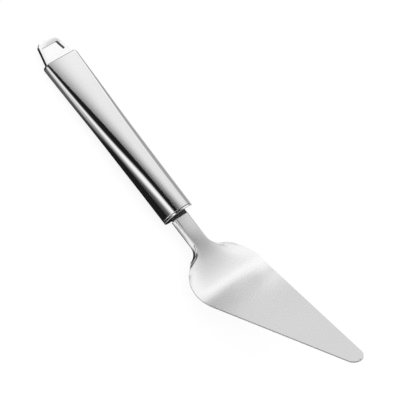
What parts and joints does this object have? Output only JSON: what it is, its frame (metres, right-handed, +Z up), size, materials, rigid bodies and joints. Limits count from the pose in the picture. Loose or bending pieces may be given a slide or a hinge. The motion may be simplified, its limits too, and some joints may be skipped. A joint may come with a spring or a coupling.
{
  "type": "cake server",
  "caption": "Cake server with a pointed sheet blade on round shoulders, raised from a channel neck, and a hollow metal handle, round in front, pressed flat to a hanging eye.",
  "frame": {"origin": "centre of the bounding box in plan, at its lowest plane, which is the flat underside of the handle", "axes": "+X along the handle towards the blade's tip, +Y across the blade, +Z up; the object lies on the handle's flat underside"},
  "size_m": [0.2733, 0.0554, 0.0722],
  "materials": {
    "blade_steel": "satin, fine grain",
    "handle_steel": "polished tube with satin flat sides",
    "polished_steel": "polished",
    "inner_steel": "plain"
  },
  "bodies": {
    "root": {"blade": "blade_steel", "tang": "inner_steel", "neck_collar": "polished_steel", "front_cap": "polished_steel", "tang_pin": "inner_steel", "handle_tube": "handle_steel", "rear_cap": "handle_steel", "hanging_eye": "polished_steel"}
  },
  "joints": []
}
